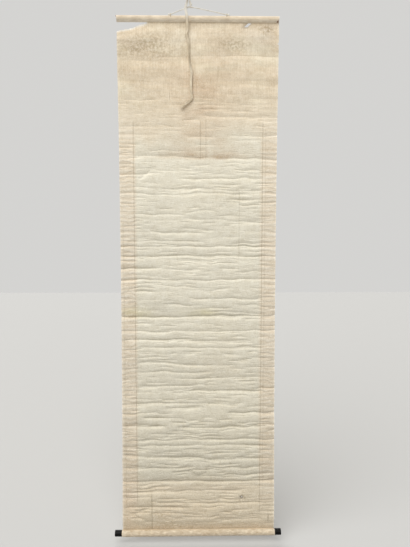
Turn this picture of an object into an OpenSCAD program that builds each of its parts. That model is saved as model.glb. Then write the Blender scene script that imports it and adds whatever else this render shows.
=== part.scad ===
// Hanging scroll, turned to show its paper back, on its cord and winding tape.
// Z is up, X runs along the stave, and the paper back faces -Y.
// The origin is where a hook carries the tape's loop.

/* [Sheet] */
// Width of the mounted sheet
sheet_w = 520; // [460:5:600]
// Height over both sleeves, from the top of the stave's to the bottom of the roller's
sheet_h = 1716; // [1500:2:1900]
// Thickness of the mounted sheet
sheet_t = 0.6; // [0.4:0.1:0.9]
// How far each side edge draws in at mid height
waist = 5; // [0:0.5:8]
// How much further in each side edge is at the stave than at the roller
taper = 3; // [0:0.5:5]
// How far the hanging sheet bellies out towards its back
belly = 6; // [3:0.5:7]
// Depth of the deepest crease
crease_depth = 3.4; // [1:0.1:4]
// Room for paste between the sleeves and the wood
paste = 0.2; // [0.1:0.05:0.4]

/* [Damage] */
// How far the torn edge has dropped at the left side
tear_drop = 26; // [8:1:30]
// Length of the tear along the stave
tear_len = 100; // [70:1:120]
// Width of the slanting hole under the stave
hole_w = 11; // [6:1:16]
// Height of that hole
hole_h = 14; // [8:1:18]
// Depth of the nick in the right edge
nick_depth = 4; // [1:0.5:6]
// Width of the pinhole near the foot
pin_w = 4; // [2:0.5:6]
// Height of the pinhole
pin_h = 3; // [2:0.5:5]

/* [Stave] */
// Radius of the half-round stave
stave_r = 9; // [8.5:0.5:10]
// How far the stave's left end stands out of its sleeve
stave_out = 3; // [1:0.5:6]
// How far the stave's right end stops inside its sleeve
stave_in = 3; // [1:0.5:6]
// Slant of the stave's left end, in degrees
stave_slant = 18; // [0:1:25]

/* [Roller] */
// Diameter of the roller
roller_d = 21.5; // [19:0.5:26]
// How much shorter the roller is between its knobs than the sheet is wide
roller_short = 2; // [0:0.5:6]
// How far the roller sits to the left of the sheet's middle
roller_shift = 1.5; // [0:0.5:3]
// Diameter of the knobs
knob_d = 21; // [16:0.5:21.5]
// Length of a knob
knob_len = 24; // [20:0.5:34]
// Bevel round a knob's outer end
knob_bevel = 0.8; // [0.4:0.1:2]
// Diameter of the tenons that hold the knobs
tenon_d = 11; // [7:0.5:13]
// Length of those tenons
tenon_len = 15; // [8:0.5:17]
// Glue room round a tenon
tenon_fit = 0.1; // [0.05:0.05:0.2]

/* [Eyes and cords] */
// Wire diameter of the eyes
eye_wire = 1.4; // [1:0.1:1.6]
// Radius of an eye's bend, to the middle of the wire
eye_r = 2.9; // [2.8:0.1:3.1]
// Depth of the eyes' legs below the top of the stave
eye_leg = 11; // [8:0.5:11.5]
// Diameter of the hanging cord
cord_d = 3.6; // [2.5:0.1:3.8]
// Width of the winding tape
tape_w = 8; // [5:0.5:9]
// Thickness of the winding tape
tape_t = 0.9; // [0.6:0.1:1.2]

/* [Hidden] */
$fn = 64;
eps = 0.01;

// The sheet's middle lies to the right of the hook, and its top edge below it
sheet_x = 30;
hang_drop = 57;

// From the wood out to the middle and to the outer face of a sleeve's paper
to_mid = paste + sheet_t / 2;
to_face = paste + sheet_t;

// Main places, as [y, z] of the stave's flat side and of the roller's axis
top_z = -hang_drop;
bottom_z = top_z - sheet_h;
stave_c = [stave_r / 2, top_z - to_face - stave_r];
sheet_y = stave_c[0] + to_mid;
roller_c = [sheet_y - roller_d / 2 - to_mid, bottom_z + to_face + roller_d / 2];
roller_x = sheet_x - roller_shift;
roller_len = sheet_w - roller_short;

// Cord, eyes and knots: the cord crosses the eyes at eye_z and is drawn up by the tape in between
eye_xs = [-56.5, 121];
eye_z = -54.5;
cord_rise = [[-44, 0, -49.2], [-29, 0, -43.4], [-11, 0, -36.5], [-3, 0, -33.6], [4, 0, -31.4],
             [15, 0, -33], [38, 0, -37.2], [67, 0, -43], [96, 0, -49]];
knot_r = 2.8;
knot_out = 5.5;
knot_z = -55;
cord_room = 0.35;

// The tape: [x, y, z, turn], where turn 0 sets its width along Y and 90 along X
tape_route = [[9, 0, -27.6, 60], [6, 0, -22, 50], [2.6, 0, -12, 15], [2.3, 0, -4, 0], [1.4, 0, -1, 0],
              [0, 0, 0.45, 0], [-1.4, 0, -1, 0], [-2.3, 0, -4, 0], [-3.6, -0.5, -12, 30],
              [-7.4, -4, -27, 82], [-9, -4.6, -37, 90], [-7.6, -5.4, -49, 90], [-5.4, -6.4, -60, 90],
              [-4.8, -6.6, -70, 90], [-4.4, -6.4, -81, 90], [-4, -5.6, -100, 90], [-7, -6, -116, 125],
              [-1.4, -6, -131, 75], [1, -6, -156, 65], [2, -6.4, -186, 40], [5, -6, -212, 60],
              [8.6, -5, -230, 85], [7.4, -4.6, -254, 100], [7.4, -4.6, -280, 100], [8.4, -5, -300, 95],
              [9.6, -5.6, -308, 90], [9, -6, -314, 90], [5, -6.6, -319.4, 90], [-9, -8, -330, 100],
              [-26, -10, -342.5, 105]];

// Turns of the tape round the cord, as [x, z, slope of the cord there]
hitch_turns = [[-9.3, -35.9, 20], [9, -32.1, -8]];
hitch_room = 0.2;
hitch_w = 6;

// The torn edge, as [share of its length from the left side, share of its drop]
tear_line = [[0, 1], [0.2, 0.9], [0.45, 0.69], [0.68, 0.35], [0.9, 0.13], [1, 0]];
// The tear's pull on the sheet below it fades out over this height
tear_fade = 80;

// Creases from the top down: [percent of sheet_h, from, to, depth, fall], with from and to as
// shares of the half width, depth as a share of crease_depth, and fall in mm towards the right
creases = [
    [7.4, -1.1, 1.1, 0.3, 0], [11.8, -1.1, -0.5, 0.4, 0], [12.6, 0.5, 0.95, 0.4, 1],
    [15, 0.65, 1.1, 0.4, 0], [18.2, 0.1, 1.1, 0.45, 0], [20, -1.1, -0.3, 0.45, 0],
    [21.5, -1.1, 1.1, 0.4, 0], [25.6, -1.1, 1.1, 0.6, 4], [28.8, -1.1, -0.5, 0.5, 0],
    [29.8, -0.2, 0.85, 0.55, 0], [31.7, -0.8, 0.85, 0.6, 6], [33.6, 0.4, 0.85, 0.5, 0],
    [36.3, -0.8, -0.15, 0.6, 0], [37.5, -0.2, 0.85, 0.6, 6], [39.7, -0.8, 0.1, 0.55, 0],
    [41.2, -0.8, 0, 0.55, 0], [42.3, -1.1, 1.1, 0.7, 0], [44.3, -1.1, 1.1, 0.65, 0],
    [46.6, -1.1, -0.1, 0.75, 0], [48.7, -1.1, 1.1, 0.6, 0], [50.8, -0.8, 0.4, 0.5, 0],
    [52.4, -0.1, 0.85, 0.6, 0], [53.7, -0.4, 0.8, 0.5, 0], [55.9, -1.1, 1.1, 1, 2],
    [58.6, -1.1, 1.1, 0.5, 0], [60.3, -1.1, 0.7, 0.75, 3], [62, -0.8, 0.85, 0.5, 0],
    [63.3, -0.6, 0.5, 0.5, 0], [65.2, -0.8, 0.5, 0.6, 5], [66.8, -0.8, 0.15, 0.55, 0],
    [68, 0, 0.85, 0.5, 0], [69.5, -0.75, 0, 0.55, 0], [70.6, -0.1, 0.85, 0.8, 0],
    [73, -1.1, 0.5, 0.6, 0], [74.9, 0.4, 1.1, 0.75, 0], [77.6, -1.1, 0.85, 0.8, 0],
    [79.1, -0.6, 0, 0.5, 0], [80.3, -0.75, 0.85, 0.8, 0], [81.5, -0.75, 0.85, 0.55, 0],
    [83.9, -1.1, 0.85, 0.8, 5], [86.1, -1.1, 0.85, 0.6, 0], [87.4, 0.35, 1.1, 0.55, 0],
    [88.9, -1.1, 1.1, 1, 0], [91, -1.1, 0.55, 0.65, 0], [93.4, -0.1, 0.85, 0.6, 0]];
// Below a crease the sheet comes straight out again over this height
crease_lip = 6;
// Share of the half width over which a crease runs out
crease_fade = 0.12;

// The nick's place as a percent of sheet_h, and half its height, and the pinhole's place
nick_at = 5;
nick_half = 4;
pin_at = 92.2;

// Heights over which the sheet leaves the stave's plane and comes back to the roller's
head_h = 45;
foot_h = 55;

function smooth(u) = let (v = min(1, max(0, u))) v * v * (3 - 2 * v);
function sorted(v) = len(v) < 2 ? v : let (p = v[floor(len(v) / 2)][1]) concat(
    sorted([for (r = v) if (r[1] > p) r]), [for (r = v) if (r[1] == p) r],
    sorted([for (r = v) if (r[1] < p) r]));

// Half width of the sheet at a height
function half_at(z) = let (t = min(1, max(0, (top_z - z) / sheet_h)))
    sheet_w / 2 - taper * (1 - t) - waist * 4 * t * (1 - t);
top_half = half_at(top_z);

// A row of the sheet: [y, z, normal y, normal z, share of the tear, share of the hole's slant, nick, crease]
function row(y, z, n = [1, 0], tear = 0, slant = 0, nick = 0, crease = -1) =
    [y, z, n[0], n[1], tear, slant, nick, crease];
function arc_row(c, r, a) = row(c[0] + r * cos(a), c[1] + r * sin(a), [cos(a), sin(a)]);

// The stave's sleeve: up the round side, past the slits for the eyes, over the top and down the flat side
slit_room = 0.5;
slit_most = 0.985;
slit_w = eye_wire + 2 * slit_room;
slit_share = (stave_c[0] + eye_r + eye_wire / 2 + slit_room) / (stave_r + to_mid);
slit_a = acos(-min(slit_most, slit_share));
round_steps = 9;
slit_steps = 6;
bite_steps = 5;
sleeve_over = 0.6;
sleeve_end = stave_c[1] - stave_r - to_face - sleeve_over;
sleeve_rows = concat(
    [for (k = [0 : round_steps]) arc_row(stave_c, stave_r + to_mid, 270 - k * (270 - slit_a) / round_steps)],
    [for (k = [1 : slit_steps]) arc_row(stave_c, stave_r + to_mid, slit_a - k * (slit_a - 90) / slit_steps)],
    [for (a = [45, 0]) arc_row([stave_c[0], stave_c[1] + stave_r], to_mid, a)],
    [row(sheet_y, sleeve_end, slant = 1)]);

// The free sheet: its head under the stave, its creases, nick and pinhole, and its foot above the roller
tear_open = 1.2;
head_z = sleeve_end - tear_open;
head_rows = [for (d = [0, hole_h / 2, hole_h, (hole_h + head_h) / 2, head_h])
    row(sheet_y - belly * smooth(d / head_h), head_z - d, tear = 1 - d / tear_fade,
        slant = max(0, 1 - d / hole_h))];
crease_rows = [for (k = [0 : len(creases) - 1], lip = [0, 1]) let (z = top_z - sheet_h * creases[k][0] / 100)
    row(sheet_y - belly, z - lip * crease_lip, tear = max(0, 1 - (head_z - z) / tear_fade),
        crease = k + lip / 2)];
nick_z = top_z - sheet_h * nick_at / 100;
nick_rows = [for (s = [-1, 0, 1]) row(sheet_y - belly, nick_z + s * nick_half, nick = 1 - abs(s),
    tear = max(0, 1 - (head_z - nick_z - s * nick_half) / tear_fade))];
pin_z = top_z - sheet_h * pin_at / 100;
pin_rows = [for (s = [-0.5, 0.5]) row(sheet_y - belly, pin_z + s * pin_h)];
foot_rows = [for (s = [1, 0.7, 0.4, 0.15])
    row(sheet_y - belly * smooth(s), roller_c[1] + s * foot_h)];

// The roller's sleeve: under the roller, up its near side and back over its top
roller_turn = 262;
roller_steps = 16;
roller_rows = [for (k = [0 : roller_steps])
    arc_row(roller_c, roller_d / 2 + to_mid, -k * roller_turn / roller_steps)];

rows = concat(sleeve_rows, head_rows, sorted(concat(crease_rows, nick_rows, pin_rows)),
    foot_rows, roller_rows);

// Columns across the sheet, from its middle: the tear, the slits for the eyes, the holes and the bitten end
half_w = sheet_w / 2;
mid_col = 30;
eye_from_mid = [for (x = eye_xs) (x - sheet_x) * half_w / top_half];
hole_from_mid = 146;
hole_slant = 14;
bite_w = 8;
tear_cols = 4;
columns = concat([for (k = [0 : tear_cols]) -half_w + tear_len * k / tear_cols],
    [eye_from_mid[0] - slit_w / 2, eye_from_mid[0] + slit_w / 2, -mid_col, mid_col,
     eye_from_mid[1] - slit_w / 2, eye_from_mid[1] + slit_w / 2,
     hole_from_mid, hole_from_mid + min(pin_w, hole_w / 2), hole_from_mid + hole_w,
     (hole_from_mid + hole_w + half_w) / 2, half_w - bite_w, half_w]);
left_slit = tear_cols + 1;
right_slit = left_slit + 4;
hole_col = right_slit + 2;
last_col = len(columns) - 1;

// Cells that are cut, torn or bitten out of the sheet
head = len(sleeve_rows);
function is_slit(i, j) = i >= round_steps && i < round_steps + slit_steps
    && (j == left_slit || j == right_slit);
function is_torn(i, j) = i == head - 1 && j < tear_cols;
function is_hole(i, j) = (i == head || i == head + 1) && (j == hole_col || j == hole_col + 1);
function is_pinhole(i, j) = j == hole_col && rows[i][1] == pin_rows[1][1];
function is_bite(i, j) = i < bite_steps && j == last_col - 1;
function is_sheet(i, j) = i >= 0 && j >= 0 && i < len(rows) - 1 && j < last_col
    && !is_slit(i, j) && !is_torn(i, j) && !is_hole(i, j) && !is_pinhole(i, j) && !is_bite(i, j);

// Depth of a row's crease at a share of the half width
function depth_at(c, u) = c < 0 || c != floor(c) ? 0 : let (k = creases[c])
    crease_depth * k[3] * smooth((u - k[1]) / crease_fade + 0.5) * smooth((k[2] - u) / crease_fade + 0.5);

// Where a row and a column meet: the front face for side 1 and the back for side -1
function sheet_point(i, j, side) = let (
    r = rows[i],
    u = columns[j] / half_w,
    slanted = j >= hole_col && j <= hole_col + 2 ? r[5] * hole_slant : 0,
    nicked = j == last_col ? r[6] * nick_depth : 0,
    x = sheet_x + u * half_at(r[1]) + slanted - nicked,
    torn = r[4] * tear_drop * lookup((columns[j] + half_w) / tear_len, tear_line),
    fall = r[7] < 0 ? 0 : creases[floor(r[7])][4] * u)
    [x, r[0] + depth_at(r[7], u) + side * r[2] * sheet_t / 2, r[1] - torn - fall + side * r[3] * sheet_t / 2];

function sheet_id(i, j, side) = (i * len(columns) + j) * 2 + (side > 0 ? 0 : 1);

module scroll_sheet() {
    points = [for (i = [0 : len(rows) - 1], j = [0 : last_col], side = [1, -1]) sheet_point(i, j, side)];
    faces = [for (i = [0 : len(rows) - 2], j = [0 : last_col - 1]) if (is_sheet(i, j)) let (
        corners = [[i, j], [i, j + 1], [i + 1, j + 1], [i + 1, j]],
        beyond = [[i - 1, j], [i, j + 1], [i + 1, j], [i, j - 1]],
        f = [for (c = corners) sheet_id(c[0], c[1], 1)],
        b = [for (c = corners) sheet_id(c[0], c[1], -1)])
        each concat([[f[0], f[3], f[2]], [f[0], f[2], f[1]], [b[0], b[2], b[3]], [b[0], b[1], b[2]]],
            [for (k = [0 : 3]) let (n = (k + 1) % 4) if (!is_sheet(beyond[k][0], beyond[k][1]))
                each [[f[k], f[n], b[n]], [f[k], b[n], b[k]]]])];
    color("#DDD2B4") polyhedron(points, faces);
}

// A bar along X with a given section in Y and Z
module along_x(from, to) {
    translate([from, 0, 0]) rotate([90, 0, 90]) linear_extrude(to - from) children();
}

module half_round() {
    translate(stave_c) intersection() {
        circle(stave_r);
        translate([-2 * stave_r, -2 * stave_r]) square([2 * stave_r, 4 * stave_r]);
    }
}

module eye_legs(x, d, depth) {
    for (s = [-1, 1]) translate([x, s * eye_r, top_z - depth]) cylinder(d = d, h = depth + eye_bend - top_z);
}

leg_fit = 0.1;
slant_run = 2 * stave_r * tan(stave_slant);
stave_from = sheet_x - top_half - stave_out;
stave_to = sheet_x + top_half - stave_in;
module top_stave() {
    color("#8A6A52") difference() {
        along_x(stave_from, stave_to) half_round();
        translate([stave_from, 0, stave_c[1] + stave_r]) rotate([0, -stave_slant, 0])
            translate([-stave_r, -stave_r, -3 * stave_r]) cube([stave_r, 2 * stave_r, 4 * stave_r]);
        for (x = eye_xs) eye_legs(x, eye_wire + leg_fit, eye_leg + leg_fit);
    }
}

module roller() {
    color("#9C7B5E") {
        along_x(roller_x - roller_len / 2, roller_x + roller_len / 2)
            translate(roller_c) circle(d = roller_d);
        along_x(roller_x - roller_len / 2 - tenon_len, roller_x + roller_len / 2 + tenon_len)
            translate(roller_c) circle(d = tenon_d);
    }
}

// A lacquered roller end, turned about Z with its seat on the roller at z = 0
module knob() {
    color("#15130F") difference() {
        rotate_extrude() polygon([[0, 0], [knob_d / 2, 0], [knob_d / 2, knob_len - knob_bevel],
            [knob_d / 2 - knob_bevel, knob_len], [0, knob_len]]);
        translate([0, 0, -eps]) cylinder(d = tenon_d + 2 * tenon_fit, h = tenon_len + tenon_fit + eps);
    }
}

module at_roller_end(side) {
    translate([roller_x + side * roller_len / 2, roller_c[0], roller_c[1]])
        rotate([0, side * 90, 0]) children();
}

// Height of the middle of an eye's bend, so that the cord bears on the bend's inside
eye_bend = eye_z + cord_d / 2 + cord_room - eye_r + eye_wire / 2;
module eye(x) {
    color("#6E5F48") {
        eye_legs(x, eye_wire, eye_leg);
        translate([x, 0, eye_bend]) rotate([90, 0, 90])
            rotate_extrude(angle = 180) translate([eye_r, 0]) circle(d = eye_wire);
    }
}

// A closed solid through rings of points that all have the same count. The two halves of a ring are split
// along opposite diagonals, so that the faces of a twisted band stay parallel.
module loft(rings) {
    n = len(rings[0]);
    m = len(rings);
    sides = [for (i = [0 : m - 2], k = [0 : n - 1]) let (a = i * n + k, b = i * n + (k + 1) % n)
        each k < n / 2 ? [[a, b + n, b], [a, a + n, b + n]] : [[a, a + n, b], [b, a + n, b + n]]];
    polyhedron([for (r = rings) each r],
        concat([[for (k = [0 : n - 1]) k]], sides, [[for (k = [n - 1 : -1 : 0]) (m - 1) * n + k]]));
}

function unit(v) = v / norm(v);
function place(p) = [p[0], p[1], p[2]];
function heading(route, i) =
    unit(place(route[min(i + 1, len(route) - 1)]) - place(route[max(i - 1, 0)]));

// Two directions square to a heading: across lies as near to Y as it can
function across(h) = unit([0, 1, 0] - h[1] * h);
function beside(h) = cross(h, across(h));

cord_sides = 8;
cord_route = concat([[eye_xs[0] - knot_out, 0, knot_z], [eye_xs[0], 0, eye_z]], cord_rise,
    [[eye_xs[1], 0, eye_z], [eye_xs[1] + knot_out, 0, knot_z]]);
module hanging_cord() {
    color("#B9B4A8") loft([for (i = [0 : len(cord_route) - 1]) let (h = heading(cord_route, i))
        [for (k = [0 : cord_sides - 1]) let (a = 360 * k / cord_sides)
            cord_route[i] + cord_d / 2 * (cos(a) * across(h) + sin(a) * beside(h))]]);
}

// A round stopper knot with a socket for the cord's end, which points to the next point inwards
module cord_knot(end, inner) {
    h = unit(inner - end);
    color("#C6C1B4") translate(end) rotate([0, atan2(h[0], h[2]), 0]) rotate_extrude() difference() {
        circle(knot_r);
        translate([-2 * knot_r, -knot_r]) square([2 * knot_r, 2 * knot_r]);
        translate([-eps, -leg_fit]) square([(cord_d + leg_fit) / 2 + eps, 2 * knot_r]);
    }
}

module winding_tape() {
    color("#DAD3C2") loft([for (i = [0 : len(tape_route) - 1]) let (
        h = heading(tape_route, i),
        a = tape_route[i][3],
        w = cos(a) * across(h) + sin(a) * beside(h),
        t = cross(h, w))
        [for (c = [[-1, -1], [1, -1], [1, 1], [-1, 1]])
            place(tape_route[i]) + c[0] * w * tape_w / 2 + c[1] * t * tape_t / 2]]);
}

hitch_r = cord_d / 2 + hitch_room;
module tape_hitch() {
    bridge = [for (t = hitch_turns) [t[0], -hitch_r - tape_t / 2, t[1]]];
    run = bridge[1] - bridge[0];
    color("#CFC8B6") difference() {
        union() {
            for (t = hitch_turns) translate([t[0], 0, t[1]]) rotate([0, 90 - t[2], 0])
                cylinder(r = hitch_r + tape_t, h = hitch_w, center = true);
            translate((bridge[0] + bridge[1]) / 2) rotate([0, -atan2(run[2], run[0]), 0])
                cube([norm(run), tape_t, hitch_w / 2], center = true);
        }
        for (t = hitch_turns) translate([t[0], 0, t[1]]) rotate([0, 90 - t[2], 0])
            cylinder(r = hitch_r, h = 2 * hitch_w, center = true);
    }
}

scroll_sheet();
top_stave();
roller();
at_roller_end(-1) knob();  // left_knob
at_roller_end(1) knob();  // right_knob
eye(eye_xs[0]);  // left_eye
eye(eye_xs[1]);  // right_eye
hanging_cord();
cord_knot(cord_route[0], cord_route[1]);  // left_cord_knot
cord_knot(cord_route[len(cord_route) - 1], cord_route[len(cord_route) - 2]);  // right_cord_knot
winding_tape();
tape_hitch();
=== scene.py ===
# %% [markdown]
# # A hanging scroll, seen from its back
# A hanging scroll is a long sheet of paper and cloth pasted up in layers. A half-round stave in a sleeve at
# its head spreads it, and a round roller in a sleeve at its foot keeps it flat by its weight. This one hangs
# with its face turned away, so what shows is the creased backing paper. The construction comes from the
# frame, in metres. The stiff pieces keep their solids and only get a finish. The soft ones, paper, cord and
# tape, are made anew in the cells below, in that same frame.

# %% Load the construction
import math

import bpy
import numpy as np
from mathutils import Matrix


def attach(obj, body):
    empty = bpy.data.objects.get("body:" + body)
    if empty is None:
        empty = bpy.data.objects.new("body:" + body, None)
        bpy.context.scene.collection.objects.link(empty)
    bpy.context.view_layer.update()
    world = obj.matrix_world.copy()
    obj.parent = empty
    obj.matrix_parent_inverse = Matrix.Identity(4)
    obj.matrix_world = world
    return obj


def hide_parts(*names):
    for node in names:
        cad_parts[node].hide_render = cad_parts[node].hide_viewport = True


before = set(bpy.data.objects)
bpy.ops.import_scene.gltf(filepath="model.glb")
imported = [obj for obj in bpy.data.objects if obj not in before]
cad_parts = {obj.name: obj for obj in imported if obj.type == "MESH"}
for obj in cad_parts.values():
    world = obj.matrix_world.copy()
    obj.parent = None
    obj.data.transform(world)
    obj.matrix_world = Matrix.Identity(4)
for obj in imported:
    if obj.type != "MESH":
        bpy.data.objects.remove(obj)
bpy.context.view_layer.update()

# %% [markdown]
# ## Camera
# The view is from about 1.7 m away, a little above the middle of the scroll, through a wide lens. The place
# and the two angles were fitted to the sheet's corners, the stave and the roller in the photograph. A camera
# could also be set by eye, but a fitted one lets every later difference be blamed on the model. The focal
# length is known in pixels of an upright frame, so the sensor is fitted by its height.

# %% Camera
sensor_height = 24.0
focal_pixels, frame_pixels = 519.2, 547
tilt_down, turn_right = 4.953, 1.082
bpy.ops.object.camera_add(location=(0.01985, -1.6995, -0.7259),
                          rotation=(math.radians(90 - tilt_down), 0, math.radians(-turn_right)))
camera = bpy.context.object
camera.name = "camera"
camera.data.sensor_fit = "VERTICAL"
camera.data.sensor_height = sensor_height
camera.data.lens = sensor_height * focal_pixels / frame_pixels
bpy.context.scene.camera = camera
print("camera lens", round(camera.data.lens, 2), "mm")

# %% [markdown]
# ## Smooth routes
# Cord and tape follow curves through a few known points. A curve drawn by hand would do, but points in code
# can be measured and laid side by side. So `smooth_route` gives points about a step apart on a smooth curve
# through the given ones, and `square_to` gives two directions square to it at every point. All lengths in
# these cells are millimetres, until `MM` turns them into metres.

# %% Smooth routes
MM = 0.001


def unit(v):
    """The same directions, with length 1."""
    return v / np.linalg.norm(v, axis=-1, keepdims=True)


def smooth_route(points, step):
    """Points about a step apart on a smooth curve through the given ones."""
    p = np.array(points, float)
    p = np.vstack([2 * p[0] - p[1], p, 2 * p[-1] - p[-2]])
    out = []
    for a, b, c, d in zip(p, p[1:], p[2:], p[3:]):
        count = max(2, int(np.linalg.norm((c - b)[:3]) / step))
        for t in np.arange(count) / count:
            bend = (2 * a - 5 * b + 4 * c - d) + t * (3 * b - a - 3 * c + d)
            out.append(b + 0.5 * t * ((c - a) + t * bend))
    return np.array(out + [p[-2]])


def run_along(route):
    """The distance along a route at each of its points."""
    steps = np.linalg.norm(np.diff(route[:, :3], axis=0), axis=1)
    return np.concatenate([[0], np.cumsum(steps)])


def square_to(route):
    """Two directions square to a route at each of its points, the first as near to Y as it can be."""
    heading = unit(np.gradient(route[:, :3], axis=0))
    across = unit(np.array([0, 1, 0]) - heading[:, 1:2] * heading)
    return across, np.cross(heading, across)


corner = smooth_route([(0, 0, 0), (10, 0, 0), (10, 0, 10)], 0.5)
print("a smooth curve through a corner of two 10 mm sides has", round(float(run_along(corner)[-1]), 2), "mm")

# %% [markdown]
# ## Round tubes
# A strand of cord is a thin round tube on a route. Rings of points could be joined by hand, but a curve
# object does it alone: an operator adds a path, its spline gives way to the route, a bevel depth makes it
# round, and converting it freezes it as a mesh. Operators act on all that is selected, so `start_fresh`
# deselects everything first.

# %% Round tubes
def start_fresh():
    """Leave edit mode and deselect everything."""
    if bpy.context.object and bpy.context.object.mode != "OBJECT":
        bpy.ops.object.mode_set(mode="OBJECT")
    bpy.ops.object.select_all(action="DESELECT")


def tubes(name, routes, radius, thick=None, closed=False):
    """One mesh of round tubes that follow the given routes, in millimetres."""
    start_fresh()
    bpy.ops.curve.primitive_nurbs_path_add()
    piece = bpy.context.object
    piece.name = name
    piece.data.splines.clear()
    piece.data.bevel_depth = radius * MM
    piece.data.bevel_resolution = 2
    piece.data.use_fill_caps = not closed
    for k, route in enumerate(routes):
        spline = piece.data.splines.new("POLY")
        spline.points.add(len(route) - 1)
        spline.use_cyclic_u = closed
        for point, at in zip(spline.points, route):
            point.co = (*(np.array(at[:3]) * MM), 1)
            point.radius = thick[k] if thick else 1
    bpy.ops.object.convert(target="MESH")
    bpy.ops.object.shade_smooth()
    print(name, len(bpy.context.object.data.polygons), "faces")
    return bpy.context.object


# %% [markdown]
# ## Hanging cord
# The cord is a round braid of eight thin strands that runs from the left eye to the right one. The tape draws
# it up in between, so it lies in two nearly straight runs. A plain tube with a bump would look smooth at its
# outline, so the strands are real: four turn one way and four the other, each going over and under, round a
# thick core that fills the middle.

# %% Hanging cord
cord_points = [(-62, 0, -55), (-56.5, 0, -54.5), (-44, 0, -49.2), (-29, 0, -43.4), (-11, 0, -36.5),
               (-3, 0, -33.6), (4, 0, -31.4), (15, 0, -33), (38, 0, -37.2), (67, 0, -43), (96, 0, -49),
               (121, 0, -54.5), (126.5, 0, -55)]
braid_pitch, strand_radius, core_times = 11.0, 0.46, 2.7
strand_ring, over_and_under = 1.28, 0.16
cord_line = smooth_route(cord_points, 0.9)
cord_a, cord_b = square_to(cord_line)
cord_run = run_along(cord_line)
strands = [cord_line]
for way in (1, -1):
    for k in range(4):
        turn = way * 2 * math.pi * cord_run / braid_pitch + k * math.pi / 2
        passing = 8 * math.pi * cord_run / braid_pitch + k * math.pi + way * math.pi / 2
        lift = (strand_ring + over_and_under * np.sin(passing))[:, None]
        strands.append(cord_line + lift * (np.cos(turn)[:, None] * cord_a + np.sin(turn)[:, None] * cord_b))
hanging_cord = tubes("cord_braid", strands, strand_radius, [core_times] + [1] * 8)

# %% [markdown]
# ## Starting a material
# Every finish here starts from a Principled shader, which one set of sliders takes from paper to lacquer.
# Colours are easier to judge as they look on a screen, from 0 to 255, so `colour` changes them to the linear
# values that the shader takes. Nodes could be wired one by one, but `add` makes a node and joins its sockets
# in one line, so that a material reads like a recipe.

# %% Starting a material
def colour(r, g, b):
    """A screen colour as linear values."""
    return tuple(((c / 255 + 0.055) / 1.055) ** 2.4 for c in (r, g, b)) + (1,)


def new_material(name, rgb, roughness):
    """A material, its node tree and its shader."""
    m = bpy.data.materials.new(name)
    m.use_nodes = True
    shader = m.node_tree.nodes["Principled BSDF"]
    shader.inputs["Base Color"].default_value = colour(*rgb)
    shader.inputs["Roughness"].default_value = roughness
    m.diffuse_color = colour(*rgb)
    return m, m.node_tree, shader


def feed(tree, socket, value):
    """Give a socket a value, or join it to another node's output."""
    if isinstance(value, bpy.types.NodeSocket):
        tree.links.new(value, socket)
    else:
        socket.default_value = value


def add(tree, kind, settings=None, **sockets):
    """A new node: settings go on the node, sockets are fed by name, or by number as i0, i1 and so on."""
    n = tree.nodes.new(kind)
    for key, value in (settings or {}).items():
        setattr(n, key, value)
    for key, value in sockets.items():
        feed(tree, n.inputs[int(key[1:])] if key[1:].isdigit() else n.inputs[key.replace("_", " ")], value)
    return n


print("middle grey in linear values", [round(v, 3) for v in colour(119, 119, 119)[:3]])

# %% [markdown]
# ## Patterns for materials
# Age, fibre and dust are all uneven, and noise is the plain way to get that. It is laid in object
# coordinates, because each piece keeps its real size and place in them, so a scale is simply cells per metre.
# `between` turns a pattern into a share, `mixed` lays one colour over another by that share, and `bump` lets
# light catch a height that is too fine to model.

# %% Patterns for materials
def noise(tree, scale, detail=3.0, stretch=(1, 1, 1)):
    """Noise in object coordinates, in cells per metre, with more cells along an axis by its stretch."""
    place = add(tree, "ShaderNodeTexCoord").outputs["Object"]
    place = add(tree, "ShaderNodeMapping", Vector=place, Scale=stretch).outputs["Vector"]
    return add(tree, "ShaderNodeTexNoise", Vector=place, Scale=scale, Detail=detail).outputs[0]


def between(tree, value, low, high, to_low, to_high):
    """A value from low to high, moved onto another range and held at its ends."""
    return add(tree, "ShaderNodeMapRange", Value=value, From_Min=low, From_Max=high, To_Min=to_low,
               To_Max=to_high).outputs[0]


def mixed(tree, factor, a, b, blend="MIX"):
    """Colour b laid over colour a by a factor."""
    n = add(tree, "ShaderNodeMix", {"data_type": "RGBA", "blend_type": blend})
    for socket, value in ((n.inputs[0], factor), (n.inputs[6], a), (n.inputs[7], b)):
        feed(tree, socket, value)
    return n.outputs[2]


def bump(tree, height, distance, under=None):
    """A normal that follows a height in metres, over another normal."""
    n = add(tree, "ShaderNodeBump", Height=height, Distance=distance, Strength=1.0)
    if under:
        tree.links.new(under, n.inputs["Normal"])
    return n.outputs["Normal"]


def to_shader(tree, shader, **sockets):
    """Join the finished patterns to the shader's sockets."""
    for key, value in sockets.items():
        feed(tree, shader.inputs[key.replace("_", " ")], value)


# The mix node has sockets for numbers, vectors and colours: 6, 7 and output 2 are its colours
print("pattern helpers", [f.__name__ for f in (noise, between, mixed, bump, to_shader)])

# %% [markdown]
# ## Cord finish
# The braid is old grey-white silk or cotton. Its colour shifts a little from place to place, with dust in
# greyer patches and single bright fibres. An image of yarn could be wrapped round it, but the strands are
# already there as shapes, so two noises and a soft sheen are enough.

# %% Cord finish
cord_mat, tree, shader = new_material("cord_braid", (196, 190, 176), 0.8)
dust = between(tree, noise(tree, 120, 4), 0.35, 0.7, 0, 1)
yarn = noise(tree, 2600, 2)
dusty = mixed(tree, dust, colour(234, 231, 222), colour(210, 204, 190))
bright = mixed(tree, between(tree, yarn, 0.3, 0.75, 0, 0.5), dusty, colour(238, 235, 226))
to_shader(tree, shader, Base_Color=bright, Normal=bump(tree, yarn, 0.0002), Sheen_Weight=0.2)
hanging_cord.data.materials.append(cord_mat)
print("cord finish", len(tree.nodes), "nodes")

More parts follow.
